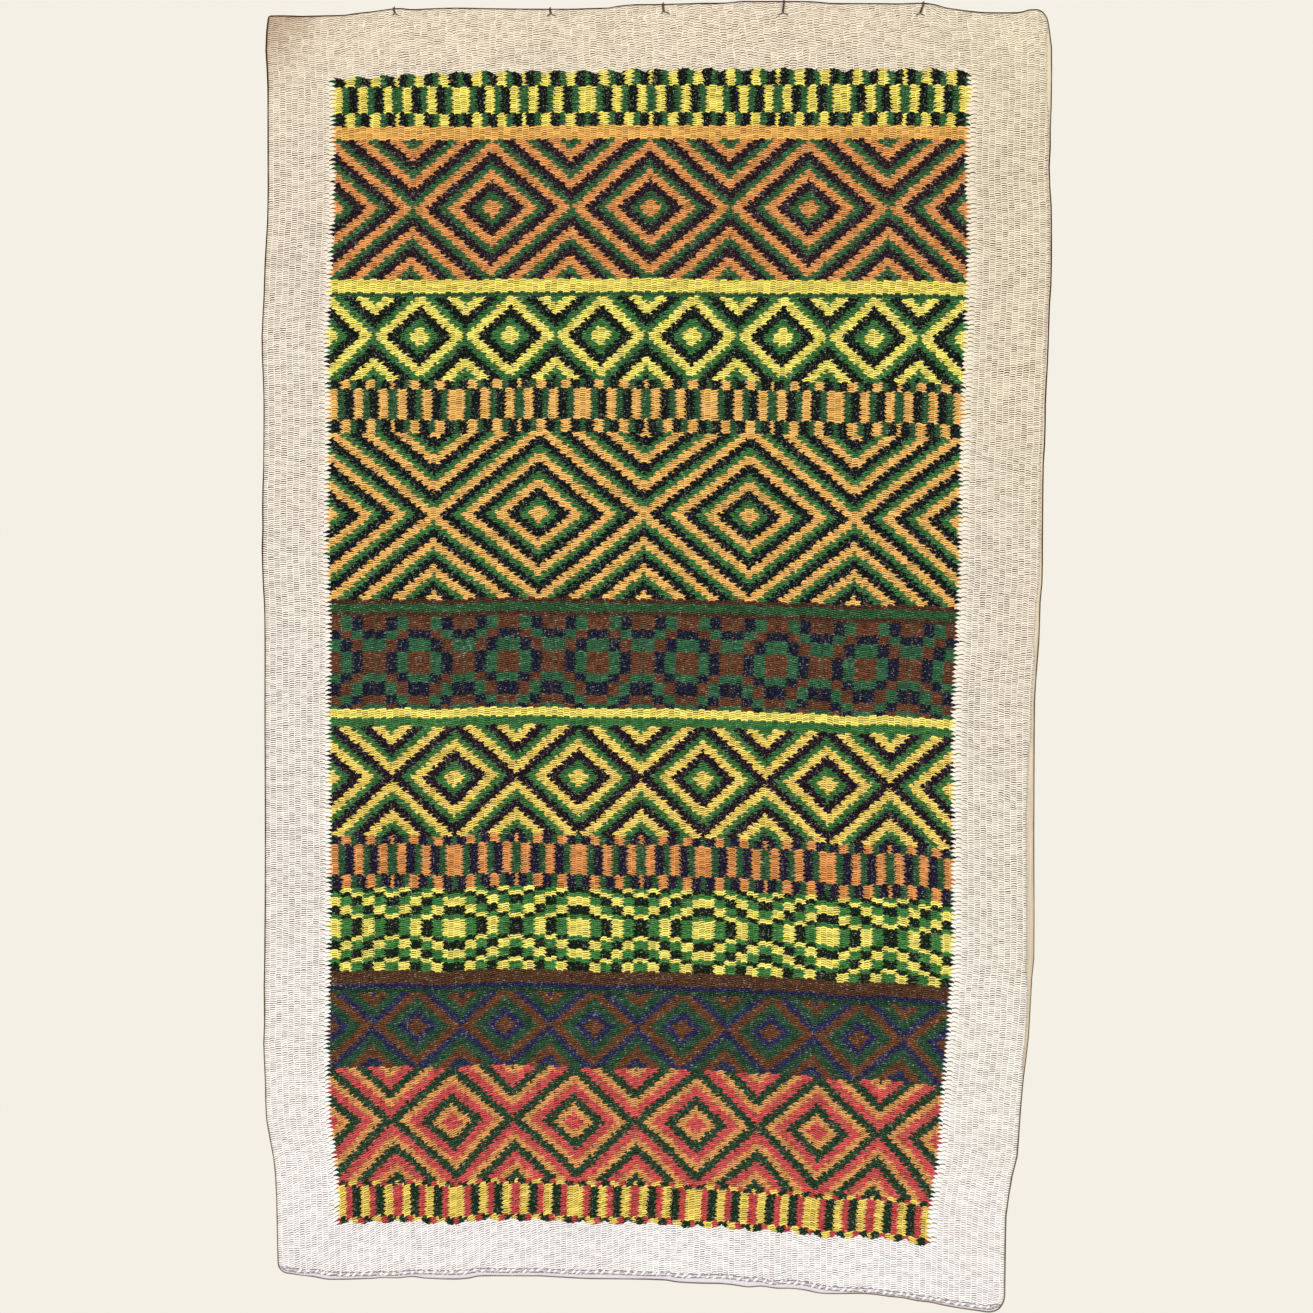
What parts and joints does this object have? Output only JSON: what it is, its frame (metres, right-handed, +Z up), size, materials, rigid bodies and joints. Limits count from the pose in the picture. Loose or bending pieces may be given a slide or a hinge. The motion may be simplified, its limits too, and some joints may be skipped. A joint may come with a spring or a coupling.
{
  "type": "woven tapestry wall hanging",
  "caption": "Tall hand-woven wool wall hanging: cream border round a coloured panel, stitched hem, brown threads sewn over the top edge.",
  "frame": {"origin": "middle of the cloth's top edge, where the hanging is held", "axes": "+Z up the cloth, +X to the right seen from the front, face towards -Y, back towards +Y"},
  "size_m": [0.6251, 0.0254, 1.0369],
  "materials": {
    "woven_wool": "matt hand-woven wool: cream border, panel of green, brown, blue, yellow, orange and red",
    "brown_thread": "matt dark brown twisted thread"
  },
  "bodies": {
    "root": {"woven_cloth": "woven_wool", "tie_1": "brown_thread", "tie_2": "brown_thread", "tie_3": "brown_thread", "tie_4": "brown_thread", "tie_5": "brown_thread"}
  },
  "joints": []
}
